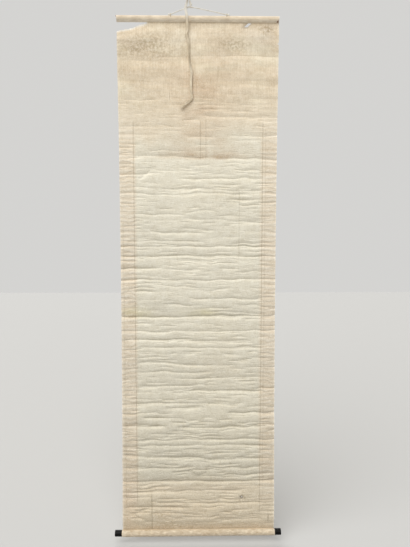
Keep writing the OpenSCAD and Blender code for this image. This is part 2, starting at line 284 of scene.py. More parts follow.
# %% [markdown]
# ## Stopper knots
# Each end of the cord is tied off behind its eye with a small overhand knot. It could be pulled tight by
# simulation, but it is only a few millimetres across. A trefoil is the closed form of that knot, so a tube
# along a trefoil gives the same three crossing lobes at once.

# %% Stopper knots
knot_size, knot_tube, knot_back = 0.92, 1.25, 0.6


def cord_knot(name, end, inner):
    """A knot on the cord's end, square to the way from that end to the next point."""
    t = np.linspace(0, 2 * math.pi, 73)[:-1]
    u = np.sin(t) + 2 * np.sin(2 * t)
    v = np.cos(t) - 2 * np.cos(2 * t)
    w = -1.1 * np.sin(3 * t)
    axis = unit(np.array(inner, float) - np.array(end, float))
    side = np.array([0.0, 1.0, 0.0])
    lobes = knot_size * (u[:, None] * side + v[:, None] * np.cross(axis, side) + w[:, None] * axis)
    piece = tubes(name, [np.array(end) - knot_back * axis + lobes], knot_tube, closed=True)
    piece.data.materials.append(cord_mat)
    return piece


left_knot = cord_knot("cord_knot_left", cord_points[0], cord_points[1])
right_knot = cord_knot("cord_knot_right", cord_points[-1], cord_points[-2])

# %% [markdown]
# ## Flat bands
# A tape is a strip with a width and hardly any thickness. A curve with a flat bevel would twist as it liked,
# so a grid primitive is laid along the route instead, with its width along a direction given for each point.
# A slight crown keeps it from looking like sheet metal, and a solidify modifier gives it its thickness.

# %% Flat bands
def band(name, centres, sides, width, thickness, cells, crown):
    """A band along the centres, with its width along the given directions, in millimetres."""
    start_fresh()
    bpy.ops.mesh.primitive_grid_add(x_subdivisions=cells, y_subdivisions=len(centres) - 1)
    piece = bpy.context.object
    piece.name = name
    across = np.linspace(-0.5, 0.5, cells + 1)
    normal = np.cross(unit(np.gradient(centres, axis=0)), sides)
    at = centres[:, None] + (across * width)[None, :, None] * sides[:, None]
    at = at + (crown * (1 - 4 * across ** 2))[None, :, None] * normal[:, None]
    piece.data.vertices.foreach_set("co", (at * MM).reshape(-1))
    solid = piece.modifiers.new("thickness", "SOLIDIFY")
    solid.thickness = thickness * MM
    solid.offset = 0
    bpy.ops.object.modifier_apply(modifier="thickness")
    bpy.ops.object.shade_smooth()
    print(name, len(piece.data.polygons), "faces")
    return piece


# %% [markdown]
# ## Winding tape
# A flat woven tape ties the scroll up when it is rolled. Here it goes up from the cord into a loop, by which
# the scroll hangs, and comes down again over the stave to a loose end. It twists on its way, and a simulated
# strip would not twist at the same places. So each point of the route has a fourth number, the turn of the
# tape's width: 0 along Y, 90 along X.

# %% Winding tape
tape_points = [(9, 0, -27.6, 60), (6, 0, -22, 50), (2.6, 0, -12, 15), (2.3, 0, -4, 0), (1.4, 0, -1, 0),
               (0, 0, 0.45, 0), (-1.4, 0, -1, 0), (-2.3, 0, -4, 0), (-3.6, -0.5, -12, 30),
               (-7.4, -4, -27, 82), (-9, -4.6, -37, 90), (-7.6, -5.4, -49, 90), (-5.4, -6.4, -60, 90),
               (-4.8, -6.6, -70, 90), (-4.4, -6.4, -81, 90), (-4, -5.6, -100, 90), (-7, -6, -116, 125),
               (-1.4, -6, -131, 75), (1, -6, -156, 65), (2, -6.4, -186, 40), (5, -6, -212, 60),
               (8.6, -5, -230, 85), (7.4, -4.6, -254, 100), (7.4, -4.6, -280, 100), (8.4, -5, -300, 95),
               (9.6, -5.6, -308, 90), (9, -6, -314, 90), (5, -6.6, -319.4, 90), (-9, -8, -330, 100),
               (-26, -10, -342.5, 105)]
tape_w, tape_t = 8.0, 0.9
tape_line = smooth_route(tape_points, 1.6)
tape_a, tape_b = square_to(tape_line)
tape_turn = np.radians(tape_line[:, 3:])
tape_side = unit(np.cos(tape_turn) * tape_a + np.sin(tape_turn) * tape_b)
winding_tape = band("tape_band", tape_line[:, :3], tape_side, tape_w, tape_t, 8, crown=0.25)

# %% [markdown]
# ## Tape finish
# The tape is a plain weave. A pattern in object coordinates would cut across it at every twist, so the weave
# lies on the grid's own UVs and stays square to the tape round each bend. A brick texture is a ready-made
# weave: every other row is shifted by half a thread. The tape is browner in patches, where it was handled,
# and paler above the stave.

# %% Tape finish
threads_across, threads_along = 9, 560
tape_mat, tree, shader = new_material("tape_weave", (214, 206, 186), 0.85)
place = add(tree, "ShaderNodeTexCoord").outputs
weave = add(tree, "ShaderNodeMapping", Vector=place["UV"], Scale=(threads_across, threads_along, 1))
weave = add(tree, "ShaderNodeTexBrick", {"offset": 0.5}, Vector=weave.outputs["Vector"], Scale=1.0,
            Mortar_Size=0.09, Color1=(1, 1, 1, 1), Color2=(0.8, 0.8, 0.8, 1), Mortar=(0.1, 0.1, 0.1, 1))
weave = weave.outputs["Color"]
handled = between(tree, noise(tree, 45, 4), 0.35, 0.68, 0, 1)
base = mixed(tree, handled, colour(238, 223, 196), colour(208, 190, 160))
height = add(tree, "ShaderNodeSeparateXYZ", Vector=place["Object"]).outputs["Z"]
base = mixed(tree, between(tree, height, -0.08, -0.05, 0, 0.75), base, colour(240, 236, 227))
base = mixed(tree, 0.1, base, weave, "MULTIPLY")
to_shader(tree, shader, Base_Color=base, Normal=bump(tree, weave, 0.0004))
winding_tape.data.materials.append(tape_mat)
print("tape finish", len(tree.nodes), "nodes")

# %% [markdown]
# ## Hitch
# The tape is hitched round the cord on both sides of its peak, with a bridge across the front. A knot tool
# isn't needed: the band is laid on a thin cylinder round the cord. Each point says how far along it is and
# how far round: first round the left turn, then along the front, then round the right turn. The width always
# lies in the cylinder's surface, as a real band's does.

# %% Hitch
hitch = [(-12.2, 40), (-11.2, 170), (-9.8, 330), (-8.6, 480), (-6.2, 548), (-2, 560), (2, 560), (6, 570),
         (8.2, 640), (9.3, 780), (10.4, 920), (11.2, 1000)]
degrees_per_mm = 40.0
hitch_line = smooth_route([(x, a / degrees_per_mm, 0) for x, a in hitch], 0.35)
hitch_x = hitch_line[:, 0]
hitch_turn = np.radians(hitch_line[:, 1] * degrees_per_mm)
hitch_mid = np.stack([np.interp(hitch_x, cord_line[:, 0], cord_line[:, k]) for k in range(3)], 1)
hitch_out = np.stack([0 * hitch_x, np.cos(hitch_turn), np.sin(hitch_turn)], 1)
hitch_radius = 2.55 + 0.25 * np.sin(hitch_turn / 3)
hitch_at = hitch_mid + hitch_radius[:, None] * hitch_out
hitch_side = unit(np.cross(unit(np.gradient(hitch_at, axis=0)), hitch_out))
tape_hitch = band("tape_turns", hitch_at, hitch_side, 4.6, 0.7, 6, crown=0.15)
tape_hitch.data.materials.append(tape_mat)
print("hitch reaches", round(float(np.ptp(hitch_x)), 1), "mm along the cord")

# %% [markdown]
# ## Sheet: sizes and crease lines
# Years of rolling broke the paper into creases that run across it. They could be left to noise, but the long
# ones are what the eye knows the scroll by, so each is listed one by one. A line gives its drop below the
# stave's top, where it starts and ends across the sheet, its depth, and its fall in 100 mm to the right.

# %% Sheet: sizes and crease lines
half_w, sheet_x, sheet_h, sheet_t = 260.0, 30.0, 1716.0, 0.6
top_z, sheet_y = -57.0, 5.0
free_from, free_to = 21.4, 1704.45
creases = [
    (127, -270, 270, 0.7, 0), (136, -270, -160, 0.5, 0), (203, -270, -127, 0.8, 0), (216, 140, 243, 0.9, 7),
    (257, 173, 270, 0.8, 0), (313, 23, 270, 0.9, 0), (343, -270, -77, 0.9, 0), (370, -270, -127, 0.8, 0),
    (370, 90, 270, 0.8, 0), (442, -270, 270, 1.3, 3), (495, -270, -127, 1.0, 0), (509, -60, 213, 1.1, 0),
    (543, -210, 213, 1.2, 3.3), (557, -270, 270, 0.9, 0), (576, 107, 213, 1.0, 0), (624, -210, -43, 1.3, 0),
    (643, -43, 213, 1.3, 6.5), (671, -53, 7, 0.9, 0), (682, -210, 23, 1.2, 0), (697, -210, -160, 0.8, 0),
    (708, -210, 7, 1.1, 0), (726, -270, 270, 1.6, 0), (759, -270, 270, 1.5, 0), (772, -100, 200, 0.7, 0),
    (801, -260, -127, 2.0, 0), (805, -110, -10, 1.0, 0), (837, -270, 270, 1.4, 0), (871, -27, 90, 1.1, 0),
    (877, -210, -143, 1.1, 0), (899, -27, 207, 1.3, 0), (920, -110, 7, 1.0, 0), (920, 140, 200, 1.0, 0),
    (938, -210, -127, 1.0, 0), (959, -270, 270, 2.6, 0), (982, -233, -160, 0.9, 0),
    (1007, -270, 270, 1.1, 0), (1036, -253, -27, 1.8, 0), (1042, -27, 173, 1.3, 0),
    (1065, -200, 200, 1.1, 0), (1085, -160, -93, 1.0, 0), (1085, -50, -10, 1.0, 0), (1085, 90, 123, 1.0, 0),
    (1121, -203, 123, 1.4, 4), (1147, -203, 40, 1.3, 0), (1167, 7, 213, 1.2, 0), (1194, -193, -10, 1.2, 0),
    (1213, -27, 213, 1.8, 0), (1220, -77, -43, 0.8, 0), (1254, -253, -60, 1.3, 0), (1256, -60, 123, 0.9, 0),
    (1271, -110, 7, 1.0, 0), (1287, 107, 270, 1.9, 0), (1303, -193, -43, 1.0, 0), (1332, -253, -127, 1.9, 0),
    (1335, -60, 213, 1.5, 0), (1358, -160, 7, 1.0, 0), (1379, -193, 213, 1.9, 0), (1399, -193, 213, 1.3, 0),
    (1410, -253, -193, 1.0, 0), (1440, -253, 23, 1.9, 3.5), (1449, 23, 213, 1.5, 0),
    (1479, -253, -93, 1.2, 0), (1479, 90, 213, 1.2, 0), (1502, 90, 250, 1.3, 0), (1527, -270, 270, 2.4, 0),
    (1562, -243, 140, 1.4, 0), (1580, -253, -160, 1.0, 0), (1603, -27, 213, 1.3, 0),
    (1617, -243, -27, 1.1, 0), (1650, -60, 23, 0.9, 0), (1662, 57, 213, 1.0, 0)]
slanted = [(493, -196, -140, 1.0, -58), (1504, -30, 2, 1.0, 58), (1504, 0, 32, 1.0, -56),
           (1630, -222, -165, 0.9, -36), (1648, -246, -175, 0.9, 50)]
print("crease lines", len(creases), "and", len(slanted), "slanted ones")

# %% [markdown]
# ## Sheet: its path
# The sheet is one folded piece. Its path starts under the stave, goes up the round side, over the top and
# down the flat side, hangs free to the roller, and wraps under it and back over its top. Sleeves and sheet
# could be three pieces, but then their seams would have to meet. The rows of one grid lie along the path,
# about 3 mm apart, and the nearest row is moved onto each crease line, so that the crease is sharp.

# %% Sheet: its path
stave_y, stave_z, stave_arc = 4.5, -66.8, 9.5
roller_y, roller_z, roller_arc = -6.25, -1761.45, 11.25
belly = 6.0


def ease(u):
    """0 below 0, 1 above 1, and a soft step between them."""
    v = np.clip(u, 0, 1)
    return v * v * (3 - 2 * v)


drop = np.linspace(free_from, free_to, 540)
for crease in creases:
    drop[np.abs(drop - crease[0]).argmin()] = crease[0]
up_stave = np.radians(np.linspace(270, 90, 25))
round_roller = np.radians(np.linspace(0, -262, 31))[1:]
flat_side = [[4.85, -57.45], [5.0, -57.8], [5.0, -64.0], [5.0, -70.0], [5.0, -77.2]]
hang_y = sheet_y - belly * ease((drop - free_from) / 45) * ease((free_to - drop) / 55)
row_yz = np.concatenate([
    np.stack([stave_y + stave_arc * np.cos(up_stave), stave_z + stave_arc * np.sin(up_stave)], 1),
    flat_side,
    np.stack([hang_y, top_z - drop], 1),
    np.stack([roller_y + roller_arc * np.cos(round_roller),
              roller_z + roller_arc * np.sin(round_roller)], 1)])
first = len(up_stave) + len(flat_side)
last = first + len(drop)
print("rows", len(row_yz), "of which free", len(drop))

# %% [markdown]
# ## Sheet: columns
# A grid with even columns fine enough for a torn edge would have far too many faces. So the columns crowd
# only where the sheet is torn, slit for the eyes, holed and bitten, and lie about 10 mm apart elsewhere.
# `X` and `S` say where each point lies on the flat paper: across it, and down from the stave's top. `free`
# is 1 where the paper hangs free to crease, and 0 at the two sleeves.

# %% Sheet: columns
taper, slit_half = 3.0, 1.2
tear_end, hole_left, hole_right = -160, 146, 157
slits = [(x - sheet_x) * half_w / (half_w - taper) for x in (-56.5, 121)]
columns = np.unique(np.round(np.concatenate([
    np.linspace(-half_w, tear_end, 27), [-151, -142, -133, -124, -115, -106, -99],
    np.linspace(-82, 82, 17), [x + side for x in slits for side in (-slit_half, slit_half)],
    [88, 104, 114, 124, 135], np.linspace(hole_left, hole_right, 6),
    np.linspace(165, 247, 10), [252, 254, 256, 258, half_w]]), 3))
X, S = np.meshgrid(columns, top_z - row_yz[:, 1])
Y = np.repeat(row_yz[:, :1], len(columns), 1)
Z = np.repeat(row_yz[:, 1:], len(columns), 1)
free = np.zeros(X.shape)
free[first:last] = (ease((drop - free_from - 30) / 60) * ease((free_to - drop - 12) / 40))[:, None]
print("grid of rows and columns", X.shape)

# %% [markdown]
# ## Sheet: creases
# Seen from the back each crease is a valley: the paper above it sinks slowly and then faster, and below the
# line it comes out again at once. A sculpting brush could draw that, but a formula is the same each time. It
# also tells where the crease line gets dirt and painted shade, and where the lip below it gets a painted
# highlight. `cloud` is a smooth random field, which lets a crease fade and swell along its length, as paper
# does.

# %% Sheet: creases
crease_depth = 3.2


def cloud(x, s, cell_x, cell_s, seed):
    """A smooth random field from -1 to 1, with cells of the given width and height in millimetres."""
    lattice = np.random.default_rng(seed).uniform(-1, 1, (64, 256))
    u, v = x / cell_x + 32, s / cell_s + 8
    i, j = np.floor(u).astype(int), np.floor(v).astype(int)
    a, b = ease(u - i), ease(v - j)
    i, j, i_next, j_next = i % 64, j % 256, (i + 1) % 64, (j + 1) % 256
    here = (1 - b) * lattice[i, j] + b * lattice[i, j_next]
    beyond = (1 - b) * lattice[i_next, j] + b * lattice[i_next, j_next]
    return (1 - a) * here + a * beyond


def valley(crease, seed):
    """How far the paper sinks at a crease, and the shares of dirt and painted shade in its line and of
    painted highlight on its lip.
    """
    at, x0, x1, depth, fall = crease
    u = S - at - fall * (X - (x0 + x1) / 2) / 100
    above, below = np.minimum(u, 0), np.maximum(u, 0)
    sharp = 0.25 + 0.75 * ease((at - 400) / 120)
    slow = np.where(u < 0, np.exp(above / (10 + 6 * depth)), np.exp(-below / (8 + 3 * depth)))
    quick = np.where(u < 0, np.exp(above / 4), np.exp(-below / 3))
    shape = slow + sharp * np.where(u < 0, 0.5, 0.7) * (quick - slow)
    run = ease((X - x0) / 36 + 0.5) * ease((x1 - X) / 36 + 0.5)
    run = depth * run * (0.85 + 0.45 * cloud(X, S * 0, 60, 60, seed))
    # The crease line itself gets dirt and painted shade, and the lip below it a painted highlight.
    line_dirt_and_shade = sharp * run * np.exp(above / 2.5 - below / 1.5)
    on_lip_highlight = sharp * run * np.exp(-((u - 4.5) / 2.4) ** 2)
    return np.stack([crease_depth * run * shape, line_dirt_and_shade, on_lip_highlight])


sink, crease_dirt_and_shade, lip_highlight = sum(valley(crease, 100 + k) for k, crease in enumerate(creases + slanted))
print("creases sink", round(float((free * sink).max()), 2), "mm before they are levelled")

# %% [markdown]
# ## Sheet: wrinkles
# Between the creases the paper is crumpled into many short wrinkles. Cloth simulation makes soft waves and
# not these, so they are drawn: a thousand small valleys, each on one row of the grid, at seeded random
# places. The head of the sheet has few of them and the foot has the worst. They don't add up where they
# meet, because the deeper one wins.

# %% Sheet: wrinkles
crumple = np.clip(0.22 + 0.5 * ease((S - 190) / 90) + 0.28 * ease((S - 340) / 130), 0, 1)
rng = np.random.default_rng(11)
small, small_lip_highlight = 0 * X, 0 * X
for _ in range(1000):
    at = S[rng.integers(first + 20, last - 6), 0]
    middle = rng.uniform(-half_w, half_w)
    length = rng.uniform(16, 100) * rng.uniform(0.5, 1)
    run = rng.uniform(0.25, 1.0) * ease(0.5 + (length / 2 - np.abs(X - middle)) / 22)
    u = S - at
    small = np.maximum(small, run * np.exp(np.where(u < 0, u / 4.2, -u / 2.6)))
    small_lip_highlight = np.maximum(small_lip_highlight, run * np.exp(-((u - 4) / 2) ** 2))
worse = 1 + 0.5 * ease((S - 850) / 400) + 0.3 * ease((S - 1520) / 40)
small = crumple * small * worse * (0.75 + 0.5 * cloud(X, S, 90, 60, 61))
sink = sink * (0.55 + 0.5 * worse) + crease_depth * small
# Their lines add dirt and painted shade, and their lips a painted highlight.
crease_dirt_and_shade = crease_dirt_and_shade + 0.3 * small
lip_highlight = lip_highlight + crumple * small_lip_highlight
print("wrinkles sink", round(crease_depth * float((free * small).max()), 2), "mm at most")

# %% [markdown]
# ## Sheet: levelling and bending
# So many valleys would push the whole sheet backwards, so the slow average is taken off again, and the sheet
# hangs as straight as a real one does under its roller. The deepest places are held back softly. Every crease
# still follows a straight row, which paper never does, so the rows themselves are bent up and down by two
# slow fields, one wide and one narrow.

# %% Sheet: levelling and bending
deepest = 9.0
steps = np.gradient(S[:, 0]) * (free[:, 0] > 0)
near = np.exp(-((S[:, :1] - S[:, 0]) / 60) ** 2) * steps
sink = sink - (near / (near.sum(1, keepdims=True) + 1e-9)) @ sink
sink = deepest * np.tanh(sink / deepest)
Y = Y + free * (sink - 0.45 * cloud(X, S, 110, 38, 3))
Z = Z - free * (3.4 * cloud(X, S, 140, 60, 1) + 3.0 * cloud(X, S, 38, 28, 2))
print("relief from", round(float((free * sink).min()), 2), "to", round(float((free * sink).max()), 2), "mm")

# %% [markdown]
# ## Sheet: waist and torn corner
# The sheet draws in a little at mid height, and its head is a little narrower than its foot. At the upper
# left it has torn off the stave and sags, which pulls the paper below it down too. A slanting hole lies
# under the stave at the right, and the right edge has a nick. Cutting all that out of a finished mesh would
# leave ragged faces, so the rows and columns are only warped here, and the faces stay whole.

# %% Sheet: waist and torn corner
waist, tear_sag, tear_jag = 5.0, 26, 1.3
hole_tall = 14  # the hole slants as far as it is tall
nick_at, nick_deep = 85.8, 4
hanging = np.zeros(X.shape)
hanging[first:last] = 1
under = S - free_from
tear = np.interp((X + half_w) / 100, [0, 0.2, 0.45, 0.68, 0.9, 1], [1, 0.9, 0.69, 0.35, 0.13, 0])
jag = np.random.default_rng(5).uniform(-1, 1, len(columns))[None, :]
jag = jag * np.exp(-under / 4) * (X < tear_end - 1)
torn = hanging * (tear_sag * tear * np.clip(1 - under / 80, 0, 1) + tear_jag * jag)
slope = hole_tall * hanging * np.clip(1 - under / hole_tall, 0, 1)
slope = slope * np.interp(X, [125, hole_left, hole_right, 195], [0, 1, 1, 0])
nick = nick_deep * np.clip(1 - np.abs(S - nick_at) / 4, 0, 1) * hanging * ease((X - 247) / 13)
frayed = 0.35 * cloud(X, S, 40, 16, 6) * (np.abs(X) > 259)
down = np.clip(S / sheet_h, 0, 1)
drawn_in = taper * (1 - down) + waist * 4 * down * (1 - down)
X_real = sheet_x + X * (1 - drawn_in / half_w) + slope - nick + frayed
Z_real = Z - torn
print("the torn corner sags", round(float(torn.max()), 1), "mm, the waist draws in", waist, "mm a side")

# %% [markdown]
# ## Sheet: lost cells
# Where paper is gone, whole cells of the grid go: the row along the tear, the slanting hole, a slit in the
# sleeve for each eye, the bitten right end of the stave's sleeve, and a pinhole low down. A boolean cut
# would do this on any mesh, but here the columns already lie on the edges of each hole, so it is enough to
# mark the cells by the place of their middle.

# %% Sheet: lost cells
pin_x, pin_s = 148.2, 1582
row = np.arange(len(row_yz) - 1)[:, None] + 0 * columns[None, :-1].astype(int)
mid_x = (columns[:-1] + columns[1:])[None, :] / 2 + 0.0 * row
mid_s = (S[:-1, :-1] + S[1:, 1:]) / 2
angle = np.degrees(np.interp(row + 0.5, np.arange(len(up_stave)), up_stave, right=0))
in_sleeve, below_stave = row < len(up_stave), row >= first
lost = (row == first - 1) & (mid_x < tear_end - 3)
lost |= below_stave & (mid_s < free_from + hole_tall) & (mid_x > hole_left) & (mid_x < hole_right)
for x in slits:
    lost |= in_sleeve & (angle < 154.8) & (angle > 0) & (np.abs(mid_x - x) < slit_half)
lost |= in_sleeve & (angle > 198 + 4 * (half_w - mid_x)) & (mid_x > 252)
lost |= below_stave & (np.abs(mid_s - pin_s) < 2.2) & (np.abs(mid_x - pin_x) < 1.5)
print("cells lost", int(lost.sum()))

# %% [markdown]
# ## Sheet: papers
# The back is several papers. The middle panel, behind the picture, is whiter, the side strips are pinker, and
# the head and foot are browner. They could be separate materials with hard borders, but on the real sheet
# they have faded into each other. So they are soft fields, worked out at every point of the grid and kept as
# a colour attribute, and each one is laid over the last as a wash is.

# %% Sheet: papers
panel_w, foot_line = 208, 1527


def field(rgb):
    """A screen colour as three linear values."""
    return np.array(colour(*rgb)[:3])


def laid_over(ground, share, paint):
    """A ground with a paint laid over it by a share at each point."""
    return ground * (1 - share[..., None]) + share[..., None] * paint


beside = ease((np.abs(X) - panel_w) / 12 + 0.5) * ease((S - 250) / 180) * ease((1600 - S) / 60 + 0.5)
panel_top = 360 + 30 * ease((40 - X) / 90) + 14 * cloud(X, 0 * S, 40, 40, 28)
in_panel = ease((panel_w - np.abs(X)) / 12 + 0.5) * ease((S - panel_top) / 80 + 0.5)
in_panel = in_panel * ease((foot_line - S) / 60 + 0.5)
tone = np.ones(X.shape + (1,)) * field((231, 214, 187))
for share, rgb in ((ease((S - 150) / 180), (221, 207, 182)), (ease((S - 1540) / 60), (236, 224, 199)),
                   (beside, (228, 217, 197)), (in_panel, (227, 221, 202))):
    tone = laid_over(tone, share, field(rgb))
print("whiter panel on", round(100 * float(in_panel.mean())), "% of the points")

# %% [markdown]
# ## Sheet: fading
# The paper grows darker and yellower towards the foot, with a few lighter and darker bands across it, and the
# side strips have gone peach in streaks. A gradient in the material could do the first part, but here all
# tones are in one place, and each step only multiplies what is there.

# %% Sheet: fading
darker = 0.02 * ease((S - 380) / 60) + 0.09 * ease((S - 480) / 220)
darker = darker + 0.10 * ease((S - 850) / 500) + 0.13 * ease((S - 1200) / 350)
tone = tone * (1 - darker)[..., None]
yellower = ease((S - 950) / 550)[..., None] * [0, 0.015, 0.05]
yellower = yellower + ease((S - 1560) / 60)[..., None] * [0, 0.03, 0.06]
tone = tone * (1 - yellower)
# The band at 26 mm, just under the stave, is painted light: it lightens the paper where the stave casts its
# shadow.
for at, tall, gain in ((26, 9, 0.10), (300, 45, 0.06), (510, 30, 0.03), (925, 45, -0.08),
                       (1135, 60, -0.06), (1554, 26, 0.12), (1650, 36, -0.07)):
    tone = tone * (1 + gain * np.exp(-((S - at) / tall) ** 2))[..., None]
streaks = 0.3 + cloud(X, S, 400, 34, 29) + 0.4 * cloud(X, S, 30, 12, 30)
peach = np.clip(0.5 * beside * streaks, 0, 0.6)[..., None]
tone = tone * (1 - peach * [0.03, 0.08, 0.15])
print("darkest fade", round(float(darker.max()), 2))

# %% [markdown]
# ## Sheet: stains
# Stains mark the paper: a large brown one in the middle of the head, with a tide line where it stops at the
# panel's top crease, dull areas at both sides of the head, and yellow marks along the deepest crease. Each is
# a soft round patch at its place, made ragged by `cloud`, because painted masks would need image files. A
# row gives the place, the width and height, the colour, and how strong the stain is.

# %% Sheet: stains
def patch(x, s, wide, tall):
    """1 at a place, falling off softly across and down the sheet."""
    return np.exp(-((X - x) / wide) ** 2 - ((S - s) / tall) ** 2)


stains = [(-172, 92, 95, 34, (172, 154, 124), 0.5), (116, 92, 66, 28, (172, 152, 122), 0.55),
          (-55, 62, 60, 42, (238, 229, 208), 0.6), (205, 62, 42, 34, (234, 224, 208), 0.6),
          (12, 212, 100, 66, (216, 188, 154), 0.65), (14, 300, 66, 62, (194, 166, 134), 0.65),
          (20, 395, 105, 50, (196, 172, 140), 0.6), (0, 1694, 320, 20, (168, 146, 114), 0.5),
          (-240, 88, 40, 40, (178, 160, 132), 0.4), (75, 1020, 80, 60, (196, 186, 160), 0.3),
          (75, 1330, 80, 120, (190, 180, 154), 0.25), (225, 40, 24, 14, (150, 126, 94), 0.6),
          (215, 96, 50, 24, (186, 166, 136), 0.5), (60, 1140, 110, 44, (186, 170, 138), 0.25),
          (70, 560, 90, 40, (190, 178, 150), 0.3), (60, 1500, 120, 30, (176, 160, 128), 0.3),
          (60, 1620, 90, 24, (186, 166, 130), 0.25), (-215, 944, 50, 16, (200, 190, 140), 0.7),
          (10, 946, 50, 13, (200, 190, 140), 0.65), (-120, 1640, 90, 26, (182, 160, 126), 0.35),
          (-246, 1610, 30, 110, (198, 166, 130), 0.4)]
ragged = 0.8 + 0.4 * cloud(X, S, 40, 26, 21) + 0.25 * cloud(X, S, 14, 10, 24)
for x, s, wide, tall, rgb, amount in stains:
    tone = laid_over(tone, np.clip(amount * patch(x, s, wide, tall) * ragged, 0, 1), field(rgb))
tide = np.clip(patch(10, 444, 130, 26) * ease((450 - S) / 8) * ragged, 0, 1)
tone = laid_over(tone, tide, field((186, 160, 126)))
print("stains", len(stains), "and a tide line")

# %% [markdown]
# ## Sheet: mottling and wear
# The head is mottled in pale and brown clouds. The crease lines are darkened by dirt and painted shade, and
# the lips below them are lightened by a painted highlight. Edges are worn pale, the torn corner shows white
# fibre, and both holes have rims darkened by painted shade. A pointiness node could find edges too, but only
# roughly, while these fields know from the shape itself where each crease and edge is.

# %% Sheet: mottling and wear
at_head = ease((340 - S) / 120)
for rgb, amount, seed in (((242, 233, 208), 0.6, 26), ((206, 186, 154), 0.45, 27)):
    spread = np.clip(cloud(X, S, 64, 34, seed) + 0.3 * cloud(X, S, 16, 12, seed + 2), 0, 1)
    tone = laid_over(tone, amount * at_head * spread, field(rgb))
mottle = 1 + 0.035 * cloud(X, S, 70, 40, 22) + 0.025 * cloud(X, S, 20, 20, 23)
mottle = mottle + at_head * (0.06 * cloud(X, S, 140, 11, 32) + 0.05 * cloud(X, S, 50, 5, 33))
edge_worn = 0.45 * ease((np.abs(X) - 254) / 6)
tone = laid_over(tone, edge_worn, field((244, 236, 222)))
# Dirt and painted shade darken the crease lines, and a painted highlight lightens the lips below them.
dirt_and_shade_factor = 1 - np.clip(0.09 * free * crease_dirt_and_shade, 0, 0.22)
painted_lip_highlight = 1 + np.clip(0.08 * free * lip_highlight, 0, 0.15)
tone = tone * (mottle * dirt_and_shade_factor * painted_lip_highlight)[..., None]
fibres = np.clip(1.4 - under / 6, 0, 0.9) * hanging * ease((tear_end + 2 - X) / 6)
tone = laid_over(tone, fibres, field((252, 249, 242)))
# Both holes get rims darkened by painted shade, standing in for the dark seen through them.
hole_rim_shade = ((hole_left + hole_right) / 2, 5.5, free_from + hole_tall / 2, 7.0, 6.0, (118, 94, 66), 0.5)
pinhole_shade = (pin_x, 2.2, pin_s, 2.2, 5.0, (84, 66, 46), 0.85)
for x, half, s, tall, reach, rgb, amount in (hole_rim_shade, pinhole_shade):
    outside = np.maximum(np.maximum(np.abs(X - x) - half, np.abs(S - s) - tall), 0)
    tone = laid_over(tone, amount * hanging * ease(1 - outside / reach), field(rgb))
print("tone of the back from", round(float(tone.min()), 2), "to", round(float(tone.max()), 2))

# %% [markdown]
# ## Sheet: tones of the face
# The face shows only at the two sleeves, where the sheet is folded back, and from the other side. It is kept
# plain: mount cloth at the head and foot, pinkish strips at the sides, and a bare aged field in place of a
# picture. It gets its own attribute by the same washes. Masks for the band round the roller, for dark specks
# and for the cloudy ageing of the back go into a third attribute.

# %% Sheet: tones of the face
picture_top = 343
along = ease((S - picture_top) + 0.5) * ease((foot_line - S) + 0.5)
picture = ease((panel_w - np.abs(X)) + 0.5) * along
strips = ease((np.abs(X) - panel_w) + 0.5) * along
face = np.ones(X.shape + (1,)) * field((246, 229, 203))
face = laid_over(face, ease((S - 1500) / 200), field((204, 189, 165)))
face = laid_over(face, strips, field((214, 192, 166)))
face = laid_over(face, picture, field((206, 192, 160)) * (1 - 0.12 * ease((S - 900) / 600))[..., None])
face = face * (1 + 0.05 * cloud(X, S, 60, 50, 31))[..., None]
# The lower half of the stave's sleeve is lightened with painted light, against the shade on its rounded
# underside.
sleeve_underside_painted_light = np.zeros(X.shape)
sleeve_underside_painted_light[:len(up_stave)] = ease((np.degrees(up_stave) - 180) / 60)[:, None]
face = laid_over(face, 0.75 * sleeve_underside_painted_light, field((253, 246, 232)))
face = laid_over(face, edge_worn, field((250, 242, 232)))
on_roller = np.zeros(X.shape)
on_roller[last:] = 1
speckled = 0.12 + 0.8 * patch(-165, 94, 100, 36) + 0.9 * patch(120, 92, 44, 22)
speckled = speckled + 0.15 * patch(0, 20, 300, 36) + 0.8 * patch(225, 40, 30, 16)
speckled = speckled + 0.3 * patch(-60, 1680, 120, 26) + 0.9 * patch(152, 1590, 16, 12)
speckled = np.clip(speckled, 0, 1)
clouded = 0.45 + 0.3 * at_head
print("bare field on", round(100 * float(picture.mean())), "% of the points of the face")

# %% [markdown]
# ## Sheet: mesh
# A grid primitive takes the warped points and the colour attributes, because an attribute follows the
# surface through every later step. The lost cells are selected by code and deleted in edit mode, and the
# normals are flipped so that the papered back looks outwards. A solidify modifier gives the paper its
# thickness: its first side keeps material 0, the papered back, the new side gets material 1, the face, and
# the rim gets material 2, bare fibre. It is applied once those three exist.

# %% Sheet: mesh
start_fresh()
bpy.ops.mesh.primitive_grid_add(x_subdivisions=len(columns) - 1, y_subdivisions=len(row_yz) - 1)
sheet = bpy.context.object
sheet.name = "paper_sheet"
sheet.data.vertices.foreach_set("co", (np.stack([X_real, Y, Z_real], 2) * MM).reshape(-1))
for name, values in (("tone", np.dstack([tone, crumple])), ("face", np.dstack([face, picture])),
                     ("wear", np.dstack([speckled, beside, clouded, on_roller]))):
    layer = sheet.data.color_attributes.new(name, "FLOAT_COLOR", "POINT")
    layer.data.foreach_set("color", values.reshape(-1))
bpy.ops.object.mode_set(mode="EDIT")
bpy.ops.mesh.select_mode(type="FACE")
bpy.ops.mesh.select_all(action="DESELECT")
bpy.ops.object.mode_set(mode="OBJECT")
sheet.data.polygons.foreach_set("select", lost.reshape(-1))
bpy.ops.object.mode_set(mode="EDIT")
bpy.ops.mesh.delete(type="FACE")
bpy.ops.mesh.select_all(action="SELECT")
bpy.ops.mesh.flip_normals()
bpy.ops.object.mode_set(mode="OBJECT")
solid = sheet.modifiers.new("thickness", "SOLIDIFY")
solid.thickness = sheet_t * MM
solid.offset = 0
solid.material_offset = 1
